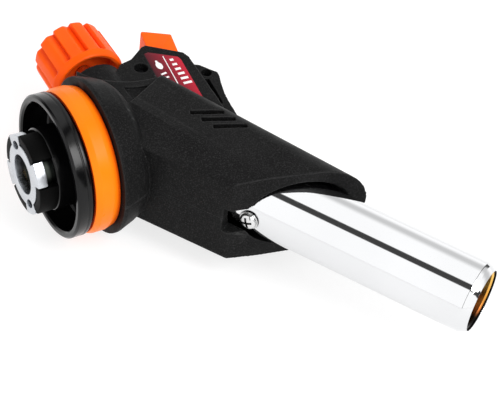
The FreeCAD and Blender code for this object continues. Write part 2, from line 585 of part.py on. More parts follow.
doc.recompute()
for piece in doc.Objects:
    if "Invalid" in piece.State or "Error" in piece.State:
        raise RuntimeError("%s failed: %s" % (piece.Label, piece.State))
for piece in nodes:
    if piece.Shape.isNull() or not piece.Shape.isValid():
        raise RuntimeError("%s has no valid shape" % piece.Label)
os.makedirs("parts", exist_ok=True)
for piece in nodes:
    piece.Shape.exportStep("parts/%s.step" % piece.Label)
    print("%-20s %9.1f mm3  %d solid(s)" % (piece.Label, piece.Shape.Volume, len(piece.Shape.Solids)))
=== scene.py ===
"""Looks of the bayonet gas torch head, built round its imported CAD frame.

+X runs along the can axis into the body, the knob points along +Y, the burner leans towards -Y
and +Z is the label side. Shapes are given in millimetres and turned to metres by MM. Bump depths,
lights, the floor and the camera are given in metres.
"""

import json
import math

import bmesh
import bpy
from mathutils import Matrix, Vector


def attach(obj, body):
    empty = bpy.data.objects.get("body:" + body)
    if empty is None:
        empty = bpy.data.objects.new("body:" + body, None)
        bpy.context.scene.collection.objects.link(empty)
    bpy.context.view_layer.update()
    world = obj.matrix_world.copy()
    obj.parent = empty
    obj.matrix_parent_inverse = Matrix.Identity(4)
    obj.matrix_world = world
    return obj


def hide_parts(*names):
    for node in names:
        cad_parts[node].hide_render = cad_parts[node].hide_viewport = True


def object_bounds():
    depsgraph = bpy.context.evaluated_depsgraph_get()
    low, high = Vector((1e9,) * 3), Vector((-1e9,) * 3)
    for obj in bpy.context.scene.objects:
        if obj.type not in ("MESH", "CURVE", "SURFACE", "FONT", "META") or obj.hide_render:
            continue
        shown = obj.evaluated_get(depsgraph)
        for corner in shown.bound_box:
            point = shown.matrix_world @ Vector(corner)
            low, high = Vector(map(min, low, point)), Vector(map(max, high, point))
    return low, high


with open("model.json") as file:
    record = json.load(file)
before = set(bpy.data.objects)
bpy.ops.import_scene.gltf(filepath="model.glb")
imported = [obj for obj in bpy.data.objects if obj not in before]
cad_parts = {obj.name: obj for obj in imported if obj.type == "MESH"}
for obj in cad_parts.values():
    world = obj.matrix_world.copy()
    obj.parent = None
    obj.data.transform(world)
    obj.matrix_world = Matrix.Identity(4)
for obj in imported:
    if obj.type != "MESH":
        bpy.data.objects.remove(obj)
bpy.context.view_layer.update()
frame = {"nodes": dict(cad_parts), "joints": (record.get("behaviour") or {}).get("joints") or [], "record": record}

MM = 0.001
TURN_STEPS = 160
SHARP_EDGE = 35
CUT_EDGE = 30
DOUBLE = 1e-4
DEGENERATE = 1e-5
ON_AXIS = 1e-6
NEARLY_STRAIGHT = math.radians(89.5)
ROUNDED_SHARE = 0.49
QUARTER = math.pi / 2
JOINTS = {joint["name"]: joint for joint in frame["joints"]}
MOUNTS = {mount["name"]: mount for mount in frame["record"]["mounts"]}
scene = bpy.context.scene
scene.view_settings.view_transform = "Standard"


# ---- frames: local Z runs along the axis and local Y is up ----

def axes(origin, along):
    """A frame in metres whose Z runs along the given direction, with the model's Z as its Y."""
    along = Vector(along).normalized()
    up = Vector((0, 0, 1))
    where = Matrix((up.cross(along), up, along)).transposed().to_4x4()
    where.translation = Vector(origin)
    return where


mouth = MOUNTS["burner_mouth"]
BURNER_LONG = 113.0
CAN = axes((0, 0, 0), (1, 0, 0))
BURNER = axes(Vector(mouth["pos_m"]) - Vector(mouth["axis"]) * BURNER_LONG * MM, mouth["axis"])
knob_axis = JOINTS["knob_turn"]
KNOB = axes((knob_axis["pos_m"][0], 0, 0), knob_axis["axis"])
LEVEL = Matrix.Identity(4)


def burner_way(*local):
    """A direction in the burner's own frame, turned into the model's."""
    return BURNER.to_3x3() @ Vector(local)


# ---- mesh building ----

def finished(name, mesh, where, sharp=SHARP_EDGE):
    """An object from a mesh in local millimetres, smooth but for its sharp edges."""
    mesh.transform(where @ Matrix.Scale(MM, 4))
    mesh.shade_smooth()
    mesh.set_sharp_from_angle(angle=math.radians(sharp))
    thing = bpy.data.objects.new(name, mesh)
    scene.collection.objects.link(thing)
    return thing


def clean(shape, name):
    """A mesh from a bmesh, with its doubles merged and its normals outwards."""
    bmesh.ops.remove_doubles(shape, verts=shape.verts, dist=DOUBLE)
    bmesh.ops.recalc_face_normals(shape, faces=shape.faces)
    mesh = bpy.data.meshes.new(name)
    shape.to_mesh(mesh)
    shape.free()
    return mesh


def rounded(corners, bend=0.3, parts=4):
    """A closed outline with each corner replaced by an arc; a third value sets its radius."""
    result = []
    count = len(corners)
    for index in range(count):
        corner = Vector(corners[index][:2])
        radius = corners[index][2] if len(corners[index]) > 2 else bend
        back = Vector(corners[index - 1][:2]) - corner
        ahead = Vector(corners[(index + 1) % count][:2]) - corner
        half = back.angle(ahead) / 2
        if radius <= 0 or half > NEARLY_STRAIGHT:
            result.append(corner)
            continue
        longest = min(back.length, ahead.length) * ROUNDED_SHARE
        reach = min(radius / math.tan(half), longest)
        radius = reach * math.tan(half)
        inward = (back.normalized() + ahead.normalized()).normalized()
        centre = corner + inward * radius / math.sin(half)
        start = corner + back.normalized() * reach - centre
        stop = corner + ahead.normalized() * reach - centre
        turn = start.angle_signed(stop)
        for part in range(parts + 1):
            rotation = Matrix.Rotation(-turn * (part / parts), 2)
            result.append(centre + rotation @ start)
    return result


def lathe(name, where, profile, steps=TURN_STEPS, sharp=SHARP_EDGE):
    """A turned mesh from a closed outline of (radius, station) points."""
    shape = bmesh.new()
    rings = []
    for step in range(steps):
        angle = 2 * math.pi * step / steps
        rings.append([shape.verts.new((r * math.cos(angle), r * math.sin(angle), z))
                      for r, z in profile])
    count = len(profile)
    for step in range(steps):
        ring, following = rings[step], rings[(step + 1) % steps]
        for index in range(count):
            after = (index + 1) % count
            if profile[index][0] < ON_AXIS and profile[after][0] < ON_AXIS:
                continue
            shape.faces.new((ring[index], ring[after], following[after], following[index]))
    bmesh.ops.dissolve_degenerate(shape, edges=shape.edges, dist=DEGENERATE)
    return finished(name, clean(shape, name), where, sharp)


def circle(radius, steps, centre=(0, 0), squash=1.0, turn=0.0):
    """A ring of points, squashed across the direction that it is turned to."""
    points = []
    for step in range(steps):
        angle = 2 * math.pi * step / steps
        x, y = radius * math.cos(angle), radius * squash * math.sin(angle)
        points.append((centre[0] + x * math.cos(turn) - y * math.sin(turn),
                       centre[1] + x * math.sin(turn) + y * math.cos(turn)))
    return points


def evaluated(thing):
    """A new mesh of an object as its curve settings or modifiers leave it."""
    graph = bpy.context.evaluated_depsgraph_get()
    return bpy.data.meshes.new_from_object(thing.evaluated_get(graph))


def pressed(name, where, outlines, low, high, bevel):
    """A plate from an outer outline and holes, between two heights, with rounded edges."""
    curve = bpy.data.curves.new(name, "CURVE")
    curve.dimensions = "2D"
    curve.fill_mode = "BOTH"
    for outline in outlines:
        spline = curve.splines.new("POLY")
        spline.points.add(len(outline) - 1)
        for point, place in zip(spline.points, outline):
            point.co = (place[0], place[1], 0, 1)
        spline.use_cyclic_u = True
    curve.extrude = (high - low) / 2 - bevel
    curve.bevel_depth = bevel
    curve.bevel_resolution = 2
    curve.offset = -bevel
    thing = bpy.data.objects.new(name, curve)
    scene.collection.objects.link(thing)
    mesh = evaluated(thing)
    bpy.data.objects.remove(thing)
    shape = bmesh.new()
    shape.from_mesh(mesh)
    level = Matrix.Translation((0, 0, (low + high) / 2 * MM))
    return finished(name, clean(shape, name), where @ level)


def combined(name, things):
    """Several meshes as one object."""
    shape = bmesh.new()
    for thing in things:
        shape.from_mesh(thing.data)
        bpy.data.objects.remove(thing)
    mesh = bpy.data.meshes.new(name)
    shape.to_mesh(mesh)
    shape.free()
    result = bpy.data.objects.new(name, mesh)
    scene.collection.objects.link(result)
    return result


def applied(thing):
    """Bake an object's modifiers into its mesh."""
    mesh = evaluated(thing)
    thing.modifiers.clear()
    thing.data = mesh
    return thing


def without(thing, tools):
    """Cut tools out of an object."""
    for tool in tools:
        change = thing.modifiers.new("cut", "BOOLEAN")
        change.object = tool
        change.solver = "EXACT"
    applied(thing)
    for tool in tools:
        bpy.data.objects.remove(tool)
    thing.data.shade_smooth()
    thing.data.set_sharp_from_angle(angle=math.radians(CUT_EDGE))
    return thing


def placed(thing, body, node, material):
    """Let a finished piece ride on its body and stand for its CAD node."""
    thing.data.materials.clear()
    thing.data.materials.append(material)
    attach(thing, body)
    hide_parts(node)


# ---- materials ----

class Nodes:
    """A small helper to build one node material."""

    def __init__(self, name):
        self.material = bpy.data.materials.new(name)
        self.material.use_nodes = True
        self.tree = self.material.node_tree
        self.shader = self.tree.nodes["Principled BSDF"]
        self.place = self.add("ShaderNodeTexCoord").outputs["Object"]

    def add(self, kind, **values):
        """A new node with its settings or its input values given by name."""
        made = self.tree.nodes.new(kind)
        for key, value in values.items():
            if hasattr(made, key):
                setattr(made, key, value)
            else:
                made.inputs[key.replace("_", " ")].default_value = value
        return made

    def link(self, source, target):
        self.tree.links.new(source, target)

    def noise(self, scale, detail=3.0, roughness=0.5):
        made = self.add("ShaderNodeTexNoise")
        made.inputs["Scale"].default_value = scale
        made.inputs["Detail"].default_value = detail
        made.inputs["Roughness"].default_value = roughness
        self.link(self.place, made.inputs["Vector"])
        return made.outputs["Fac"]

    def ramp(self, source, stops):
        made = self.add("ShaderNodeValToRGB")
        ramp = made.color_ramp
        while len(ramp.elements) < len(stops):
            ramp.elements.new(0.5)
        for element, (position, colour) in zip(ramp.elements, stops):
            element.position = position
            element.color = (*colour, 1)
        self.link(source, made.inputs["Fac"])
        return made.outputs["Color"]

    def range(self, source, low, high, from_low=0.0, from_high=1.0):
        made = self.add("ShaderNodeMapRange")
        made.inputs["From Min"].default_value = from_low
        made.inputs["From Max"].default_value = from_high
        made.inputs["To Min"].default_value = low
        made.inputs["To Max"].default_value = high
        self.link(source, made.inputs["Value"])
        return made.outputs["Result"]

    def mix(self, share, low, high):
        """A blend of two colours, or of a colour output and a colour, by a share from 0 to 1."""
        made = self.add("ShaderNodeMix", data_type="RGBA")
        self.link(share, made.inputs["Factor"])
        for socket, colour in ((made.inputs["A"], low), (made.inputs["B"], high)):
            if hasattr(colour, "is_output"):
                self.link(colour, socket)
            else:
                socket.default_value = (*colour, 1)
        return made.outputs["Result"]

    def openness(self, distance, closed=0.35, open_from=0.9):
        """0 at the bottom of a groove and 1 on an open face, looked at over a distance in millimetres; it masks
        painted shade.
        """
        made = self.add("ShaderNodeAmbientOcclusion", samples=6)
        made.inputs["Distance"].default_value = distance * MM
        return self.range(made.outputs["AO"], 0.0, 1.0, closed, open_from)

    def edges(self, start=0.512, full=0.575):
        """1 on outer edges, where a painted edge highlight goes."""
        made = self.add("ShaderNodeNewGeometry")
        return self.range(made.outputs["Pointiness"], 0.0, 1.0, start, full)

    def bump(self, source, strength, distance, below=None):
        made = self.add("ShaderNodeBump")
        made.inputs["Strength"].default_value = strength
        made.inputs["Distance"].default_value = distance
        self.link(source, made.inputs["Height"])
        if below:
            self.link(below, made.inputs["Normal"])
        return made.outputs["Normal"]

    def set(self, **values):
        """Give the shader's inputs a value or the output of a node."""
        for key, value in values.items():
            socket = self.shader.inputs[key.replace("_", " ")]
            if hasattr(value, "is_output"):
                self.link(value, socket)
            else:
                socket.default_value = value


FINE_BUMP = 0.00003
COARSE_BUMP = 0.00006
FAINT_BUMP = 0.00002
GROOVE_SHADE_REACH = 2.2
CORNER_SHADE_REACH = 1.6
CORNER_SHADE_SHARE = 0.06


def moulded_plastic(name, dark, light, rough, grain, specular=0.5, groove_shade=None, glint_colour=None):
    """Moulded plastic with spark-eroded grain, a mottled colour and uneven gloss.

    A darker colour painted into the grooves stands for their shade, and a lighter colour painted on flecks of the
    grain and on the outer edges stands for glints of light.
    """
    made = Nodes(name)
    colour = made.ramp(made.noise(60, 4), [(0.35, dark), (0.65, light)])
    if groove_shade:
        # painted shade: grooves darkened towards the groove colour
        colour = made.mix(made.openness(GROOVE_SHADE_REACH), groove_shade, colour)
    if glint_colour:
        # painted glints: flecks of the grain lightened
        grain_glints = made.range(made.noise(2400, 2, 0.7), 0.0, 0.75, 0.50, 0.70)
        colour = made.mix(grain_glints, colour, glint_colour)
        # painted highlight along the outer edges
        colour = made.mix(made.edges(), colour, glint_colour)
    fine = made.noise(2600, 2, 0.6)
    coarse = made.noise(900, 3, 0.55)
    roughness = made.range(made.noise(220, 4), rough - 0.05, rough + 0.06, 0.3, 0.7)
    bump = made.bump(coarse, grain, COARSE_BUMP, made.bump(fine, grain, FINE_BUMP))
    made.set(Base_Color=colour, Roughness=roughness, Normal=bump,
             Specular_IOR_Level=specular)
    return made.material


def metal(name, dark, light, rough, scratch=0.15, scale=400.0):
    """Metal with faint brushed or cast unevenness, and painted shade darkening its corners."""
    made = Nodes(name)
    colour = made.ramp(made.noise(120, 5), [(0.3, dark), (0.7, light)])
    # painted shade: corners darkened almost to black
    corner_shade = [channel * CORNER_SHADE_SHARE for channel in dark]
    colour = made.mix(made.openness(CORNER_SHADE_REACH, 0.3, 0.75), corner_shade, colour)
    roughness = made.range(made.noise(scale, 5, 0.65), rough * 0.7, rough * 1.3, 0.3, 0.7)
    bump = made.bump(made.noise(scale * 2.5, 4, 0.6), scratch, FINE_BUMP)
    made.set(Base_Color=colour, Metallic=1.0, Roughness=roughness, Normal=bump)
    return made.material


def polished_chrome():
    """Bright plating with a faint ripple, and painted shade that darkens it where it meets another piece."""
    made = Nodes("polished_chrome")
    colour = made.ramp(made.noise(30, 3), [(0.3, (0.72, 0.725, 0.735)),
                                           (0.7, (0.76, 0.765, 0.775))])
    # painted shade: creases and joins darkened almost to black
    colour = made.mix(made.openness(1.0, 0.45, 0.85), (0.01, 0.01, 0.01), colour)
    roughness = made.range(made.noise(600, 5, 0.7), 0.035, 0.075, 0.35, 0.65)
    bump = made.bump(made.noise(260, 4, 0.6), 0.04, FAINT_BUMP)
    made.set(Base_Color=colour, Metallic=1.0, Roughness=roughness, Normal=bump)
    return made.material


LABEL_DARK_X = 0.044
LABEL_BRIGHT_X = 0.055


def label_print():
    """Red foil, dark on the side towards the can and bright on the other."""
    made = Nodes("label_print")
    split = made.add("ShaderNodeSeparateXYZ")
    made.link(made.place, split.inputs["Vector"])
    across = made.range(split.outputs["X"], 0.0, 1.0, LABEL_DARK_X, LABEL_BRIGHT_X)
    colour = made.ramp(across, [(0.0, (0.045, 0.003, 0.008)), (0.45, (0.20, 0.006, 0.018)),
                                (1.0, (0.50, 0.010, 0.030))])
    bump = made.bump(made.noise(1500, 3), 0.08, FAINT_BUMP)
    made.set(Base_Color=colour, Roughness=0.34, Normal=bump, Specular_IOR_Level=0.16)
    return made.material


# the side where the liner's painted shade is darkest
SHADED_SIDE = (-0.72, -0.69, 0)
SHADE_REACH = 9 * MM


def liner_with_painted_shade():
    """Brass with painted shade: gold on one side, through brown to near black on the other, standing for the
    shadow inside the burner.
    """
    made = Nodes("liner_with_painted_shade")
    offset = made.add("ShaderNodeVectorMath", operation="SUBTRACT")
    made.link(made.place, offset.inputs[0])
    offset.inputs[1].default_value = BURNER.translation
    side = made.add("ShaderNodeVectorMath", operation="DOT_PRODUCT")
    made.link(offset.outputs["Vector"], side.inputs[0])
    side.inputs[1].default_value = burner_way(*SHADED_SIDE)
    share = made.range(side.outputs["Value"], 0.0, 1.0, -SHADE_REACH, SHADE_REACH)
    # painted shade: gold through brown to near black across the burner
    colour = made.ramp(share, [(0.0, (0.95, 0.62, 0.16)), (0.38, (0.72, 0.33, 0.06)),
                               (0.62, (0.26, 0.08, 0.02)), (0.78, (0.010, 0.008, 0.006))])
    roughness = made.range(made.noise(300, 4), 0.22, 0.4, 0.3, 0.7)
    bump = made.bump(made.noise(900, 4), 0.2, FINE_BUMP)
    made.set(Base_Color=colour, Metallic=1.0, Roughness=roughness, Normal=bump)
    return made.material


def print_ink():
    """Slightly uneven white print."""
    made = Nodes("print_ink")
    colour = made.ramp(made.noise(800, 3), [(0.4, (0.80, 0.78, 0.78)), (0.6, (0.90, 0.89, 0.89))])
    made.set(Base_Color=colour, Roughness=0.4)
    return made.material


BLACK = moulded_plastic(
    "black_moulding", (0.0040, 0.0040, 0.0041), (0.0065, 0.0065, 0.0066),
    rough=0.50, grain=0.9, specular=0.06, glint_colour=(0.030, 0.030, 0.030))
SMOOTH_BLACK = moulded_plastic(
    "smooth_black_moulding", (0.0012, 0.0012, 0.0014), (0.0025, 0.0025, 0.0028),
    rough=0.17, grain=0.05, specular=0.26)
CROWN_BLACK = moulded_plastic(
    "crown_black", (0.001, 0.001, 0.001), (0.002, 0.002, 0.002),
    rough=0.5, grain=0.1, specular=0.05)
KNOB_ORANGE = moulded_plastic(
    "knob_orange", (0.95, 0.090, 0.002), (1.00, 0.112, 0.003),
    rough=0.38, grain=0.08, specular=0.09, groove_shade=(0.72, 0.022, 0.001))
RING_ORANGE = moulded_plastic(
    "ring_orange", (0.98, 0.190, 0.003), (1.00, 0.215, 0.004),
    rough=0.32, grain=0.05, specular=0.11, groove_shade=(0.70, 0.04, 0.001))
CHROME = polished_chrome()
BRASS = metal("turned_brass", (0.55, 0.36, 0.13), (0.70, 0.48, 0.20), rough=0.28)
HOT_BRASS = metal("heat_tinted_brass", (0.50, 0.28, 0.07), (0.78, 0.52, 0.20), rough=0.30)
CAST = metal("bright_die_casting", (0.52, 0.54, 0.57), (0.62, 0.64, 0.67), rough=0.30, scratch=0.35)
STEEL = metal("plated_steel", (0.58, 0.58, 0.58), (0.74, 0.74, 0.74), rough=0.20)
RUBBER = moulded_plastic(
    "seal_rubber", (0.012, 0.012, 0.012), (0.02, 0.02, 0.02), rough=0.7, grain=0.4)
CERAMIC = moulded_plastic(
    "glazed_ceramic", (0.72, 0.70, 0.64), (0.80, 0.78, 0.72), rough=0.25, grain=0.05)
WIRE = moulded_plastic(
    "wire_cover", (0.35, 0.01, 0.01), (0.45, 0.015, 0.015), rough=0.4, grain=0.1)
TRIGGER_ORANGE = moulded_plastic(
    "trigger_orange", (0.95, 0.105, 0.002), (1.00, 0.130, 0.003),
    rough=0.42, grain=0.12, specular=0.09, groove_shade=(0.70, 0.03, 0.001))
# near black, painted shade for the ring inside the burner's mouth
SHADOW_BLACK = metal("shadow_black_steel", (0.006, 0.006, 0.006), (0.014, 0.012, 0.010), rough=0.55)
# a dark copy of the bright casting, painted shade for the sleeve inside the bore
SHADED_BORE_CASTING = metal(
    "shaded_bore_casting", (0.035, 0.042, 0.036), (0.075, 0.080, 0.070), rough=0.42)
DARK_STEEL = metal("blackened_steel", (0.020, 0.020, 0.022), (0.04, 0.04, 0.042), rough=0.45)
LINER = liner_with_painted_shade()
LABEL = label_print()
INK = print_ink()


# ---- hidden pieces keep their CAD shape ----

for material, names in (
        (BRASS, ("inlet_pin", "valve_body", "needle_spindle", "gland_nut", "gas_pipe", "jet_nozzle",
                 "mixing_tube")),
        (HOT_BRASS, ("flame_holder",)),
        (RUBBER, ("inlet_seal", "spindle_seal")),
        (STEEL, ("knob_screw", "return_spring", "electrode")),
        (DARK_STEEL, ("housing_screws",)),
        (CAST, ("burner_collar",)),
        (SMOOTH_BLACK, ("igniter_plunger", "igniter_body")),
        (WIRE, ("ignition_lead",)),
        (CERAMIC, ("electrode_insulator",))):
    for name in names:
        node = frame["nodes"][name]
        node.data.materials.clear()
        node.data.materials.append(material)


# ---- housing: the CAD halves with their edges rounded as a mould leaves them ----

RIDGE_START = Vector((26.0, 3.0)) * MM
RIDGE_END = Vector((43.0, -34.5)) * MM
RIDGE_HEIGHT = 1.1 * MM
FLANK = 12.5 * MM
RIDGE_ABOVE = 4.0 * MM
RIDGE_BELOW = 6.5 * MM
RIDGE_LEAD = 0.1
RIDGE_TAPER = 0.7
SHELL_WELD = 0.01 * MM
SHELL_VOXEL = 0.27 * MM
SHELL_SMOOTHING = 0.5
SHELL_PASSES = 2
SHELL_KEPT = 0.35


def ridged(mesh):
    """Raise a soft crease along each flank of the hood, running out towards the front."""
    run = RIDGE_END - RIDGE_START
    ahead = run.normalized()
    upward = Vector((-ahead.y, ahead.x))
    for vertex in mesh.vertices:
        place = vertex.co
        offset = Vector((place.x, place.y)) - RIDGE_START
        share = offset.dot(ahead) / run.length
        above = offset.dot(upward)
        outside = min(1.0, (abs(place.z) - FLANK) / RIDGE_HEIGHT)
        if outside <= 0 or not -RIDGE_LEAD < share < 1:
            continue
        width = RIDGE_ABOVE if above > 0 else RIDGE_BELOW
        fall = max(0.0, 1 - abs(above) / width)
        lead = min(1.0, (share + RIDGE_LEAD) / (2 * RIDGE_LEAD))
        fade = lead * (1 - max(0.0, share)) ** RIDGE_TAPER
        place.z += math.copysign(RIDGE_HEIGHT * fall * fade * outside, place.z)


def softened(node, name):
    """A copy of a CAD shell, remeshed and smoothed so that its edges are rounded."""
    thing = bpy.data.objects.new(name, frame["nodes"][node].data.copy())
    scene.collection.objects.link(thing)
    weld = thing.modifiers.new("weld", "WELD")
    weld.merge_threshold = SHELL_WELD
    grid = thing.modifiers.new("grid", "REMESH")
    grid.mode = "VOXEL"
    grid.voxel_size = SHELL_VOXEL
    smooth = thing.modifiers.new("smooth", "SMOOTH")
    smooth.factor = SHELL_SMOOTHING
    smooth.iterations = SHELL_PASSES
    applied(thing)
    ridged(thing.data)
    fewer = thing.modifiers.new("fewer", "DECIMATE")
    fewer.ratio = SHELL_KEPT
    applied(thing)
    thing.data.shade_smooth()
    return thing


placed(softened("housing_upper", "label_side_shell"), "torch_body", "housing_upper", BLACK)
placed(softened("housing_lower", "far_side_shell"), "torch_body", "housing_lower", BLACK)


# ---- can socket ----

LUG_TURN = math.radians(52.0)
LUG_HALF = math.radians(17.5)
LUG_RADIUS = 12.2
PLATE_RADIUS = 9.5
PLATE_FRONT = -8.1
PLATE_BACK = -4.9
PLATE_BORE = 6.1
SLEEVE_RADIUS = 8.1
SLEEVE_END = 11.4
OVAL_PLACE = 8.9
OVAL_HALF = 2.3
OVAL_SQUASH = 0.56
HUB_RADIUS = 12.5
HUB_BORE = 8.2
GROOVE = -2.2
CROWN_FRONT = -7.8
CROWN_GAP = math.radians(2.2)
CUP_RADIUS = 22.0
CUP_FLOOR = 9.0
SPIGOT_RADIUS = 20.4
SPIGOT_BORE = 18.2
SPIGOT_END = 17.0
RING_BORE = 20.5
RING_FRONT = 5.6
RING_BACK = 13.5
RING_RADIUS = 22.3


def arc_points(radius, start, stop, parts):
    """Points along an arc about the origin."""
    return [(radius * math.cos(start + (stop - start) * part / parts),
             radius * math.sin(start + (stop - start) * part / parts)) for part in range(parts + 1)]


cup = lathe("cup_ring", CAN, rounded([
    (HUB_BORE, 11.5), (HUB_BORE, GROOVE + 0.2), (HUB_RADIUS - 0.35, GROOVE + 0.2),
    (HUB_RADIUS, GROOVE + 0.6), (HUB_RADIUS, CUP_FLOOR, 0.9), (19.6, CUP_FLOOR, 0.9),
    (19.7, 0.5), (20.2, 0.0), (21.4, 0.0), (CUP_RADIUS, 0.6), (CUP_RADIUS, 3.1), (21.85, 3.25),
    (21.85, 3.5), (CUP_RADIUS, 3.65), (CUP_RADIUS, 4.5, 0.15), (SPIGOT_RADIUS, 4.5, 0.1),
    (SPIGOT_RADIUS, SPIGOT_END), (SPIGOT_BORE, SPIGOT_END), (SPIGOT_BORE, 11.5)], 0.18, 3),
    sharp=50)
placed(cup, "torch_body", "socket_cup", SMOOTH_BLACK)

crown = []
for index in range(4):
    start = LUG_TURN + LUG_HALF + CROWN_GAP + index * QUARTER
    stop = start + QUARTER - 2 * LUG_HALF - 2 * CROWN_GAP
    outline = arc_points(HUB_RADIUS, start, stop, 16)
    outline += arc_points(PLATE_RADIUS + 0.15, stop, start, 16)
    crown.append(pressed("crown_%d" % index, CAN, [outline], CROWN_FRONT, GROOVE + 0.3, 0.28))
crown_ring = combined("crown_segments", crown)
placed(crown_ring, "torch_body", "socket_cup", CROWN_BLACK)

plate_outline = []
for index in range(4):
    middle = LUG_TURN + index * QUARTER
    next_start = middle + QUARTER - LUG_HALF
    plate_outline += arc_points(LUG_RADIUS, middle - LUG_HALF, middle + LUG_HALF, 12)
    plate_outline += arc_points(PLATE_RADIUS, middle + LUG_HALF + 0.03, next_start - 0.03, 12)
holes = [circle(PLATE_BORE, 96)]
for side in (0, math.pi):
    turn = LUG_TURN + side
    centre = (OVAL_PLACE * math.cos(turn), OVAL_PLACE * math.sin(turn))
    holes.append(circle(OVAL_HALF, 48, centre, OVAL_SQUASH, turn + QUARTER))
lug_plate = pressed("lug_plate", CAN, [plate_outline, *holes], PLATE_FRONT, PLATE_BACK, 0.22)
lug_sleeve = lathe("lug_sleeve", CAN, rounded([
    (PLATE_BORE, PLATE_BACK - 0.1), (SLEEVE_RADIUS, PLATE_BACK - 0.1),
    (SLEEVE_RADIUS, SLEEVE_END), (PLATE_BORE, SLEEVE_END)], 0.2, 2))
placed(lug_plate, "torch_body", "bayonet_insert", CAST)
# the sleeve gets the dark copy of the casting as painted shade
placed(lug_sleeve, "torch_body", "bayonet_insert", SHADED_BORE_CASTING)

trim_ring = lathe("trim_ring_moulding", CAN, rounded([
    (RING_BORE, RING_FRONT), (21.7, RING_FRONT, 0.25), (RING_RADIUS, 7.6, 0.8),
    (RING_RADIUS, 10.9, 0.5), (21.6, RING_BACK, 0.3), (RING_BORE, RING_BACK)], 0.15, 5), sharp=60)
placed(trim_ring, "torch_body", "trim_ring", RING_ORANGE)


# ---- knob: saw-tooth ribs that run out in a plain rim ----

FLUTES = 12
FLUTE_STEPS = 18
FLUTE_DEPTH = 1.35
KNOB_EDGE = 32
TOOTH_FLAT = 0.5
TOOTH_DEEPEST = 0.9
TOOTH_RETURN = 0.08
KNOB_BORE = 2.55
HOLLOW_FLOOR = 36.0
RECESS_FLOOR = 45.0
# each ring's radius, its place along the knob's axis, and the share of the ribs' depth there
KNOB_RINGS = [
    (KNOB_BORE, HOLLOW_FLOOR, 0), (9.5, HOLLOW_FLOOR, 0), (9.7, 35.7, 0), (9.7, 30.9, 0),
    (9.85, 30.35, 0),
    (10.3, 30.05, 0), (10.8, 30.0, 0), (11.1, 30.2, 0), (11.3, 30.6, 0), (11.8, 31.7, 0),
    (11.9, 32.1, 0), (11.9, 32.4, 0.15), (11.88, 32.7, 0.6), (11.88, 33.2, 0.95), (11.87, 33.9, 1),
    (11.8, 40.0, 1), (11.72, 45.7, 1), (11.6, 46.3, 0.97), (11.3, 46.75, 0.85), (10.8, 46.98, 0.6),
    (10.2, 47.0, 0.2), (8.6, 47.0, 0), (8.2, 46.9, 0), (8.05, 46.6, 0), (8.0, 45.15, 0),
    (7.8, RECESS_FLOOR, 0), (KNOB_BORE, RECESS_FLOOR, 0)]


def tooth(share):
    """Depth of one rib's flank: flat, then sinking into the groove, then a steep return."""
    if share < TOOTH_FLAT:
        return 0.0
    if share < TOOTH_DEEPEST:
        rise = (share - TOOTH_FLAT) / (TOOTH_DEEPEST - TOOTH_FLAT)
        return rise * rise * (3 - 2 * rise)
    return max(0.0, 1 - (share - TOOTH_DEEPEST) / TOOTH_RETURN)


def ribbed_knob(name):
    """The knob as rings of points whose radius follows the ribs."""
    shape = bmesh.new()
    count = FLUTES * FLUTE_STEPS
    rings = []
    for radius, station, share in KNOB_RINGS:
        ring = []
        for step in range(count):
            angle = 2 * math.pi * step / count
            depth = FLUTE_DEPTH * share * tooth(step % FLUTE_STEPS / FLUTE_STEPS)
            x, y = (radius - depth) * math.cos(angle), (radius - depth) * math.sin(angle)
            ring.append(shape.verts.new((x, y, station)))
        rings.append(ring)
    for index, ring in enumerate(rings):
        following = rings[(index + 1) % len(rings)]
        for step in range(count):
            after = (step + 1) % count
            shape.faces.new((ring[step], ring[after], following[after], following[step]))
    return finished(name, clean(shape, name), KNOB, KNOB_EDGE)


placed(ribbed_knob("knob_moulding"), "knob", "control_knob", KNOB_ORANGE)

# ---- burner ----

TUBE_RADIUS = 10.95
TUBE_BORE = 10.15
TUBE_START = 33.0
TUBE_STEPS = 256
LIP_START = 110.1
LIP_BORE = 9.45
SHADOW_RING_BORE = 9.36
SHADOW_RING_RADIUS = 9.5
SHADOW_RING_START = 110.9
LINER_BORE = 8.65
LINER_RADIUS = 9.2
LINER_FLANGE = 10.1
LINER_START = 62.0
LINER_STEPS = 192

# a ring of points close to each end keeps the long faces' shading straight
tube = lathe("burner_tube_chromed", BURNER, rounded([
    (TUBE_BORE, TUBE_START), (TUBE_RADIUS, TUBE_START), (TUBE_RADIUS, 33.8, 0),
    (TUBE_RADIUS, LIP_START - 1.2, 0), (TUBE_RADIUS, LIP_START, 1.0), (10.55, 111.2, 1.2),
    (10.03, 112.1, 0.8), (9.58, 112.82, 0.25), (LIP_BORE, 112.7, 0.1), (LIP_BORE, 111.2),
    (TUBE_BORE, 110.6), (TUBE_BORE, 109.0, 0), (TUBE_BORE, 34.0, 0)], 0.1, 5), TUBE_STEPS, 40)
placed(tube, "torch_body", "burner_tube", CHROME)

# painted shade: a near-black ring standing for the shadow inside the burner's mouth
mouth_shadow_ring = lathe("mouth_shadow_ring", BURNER, rounded([
    (SHADOW_RING_BORE, 112.6), (SHADOW_RING_RADIUS, 112.72), (SHADOW_RING_RADIUS, SHADOW_RING_START),
    (SHADOW_RING_BORE, SHADOW_RING_START)], 0.04, 2), LINER_STEPS)
placed(mouth_shadow_ring, "torch_body", "burner_tube", SHADOW_BLACK)

liner = lathe("flame_tube_liner", BURNER, rounded([
    (LINER_BORE, LINER_START), (LINER_FLANGE, LINER_START), (LINER_FLANGE, 63.0),
    (LINER_RADIUS, 63.0), (LINER_RADIUS, 111.9), (8.95, 112.25), (LINER_BORE, 111.6)], 0.1, 3),
    LINER_STEPS)
placed(liner, "torch_body", "flame_tube", LINER)

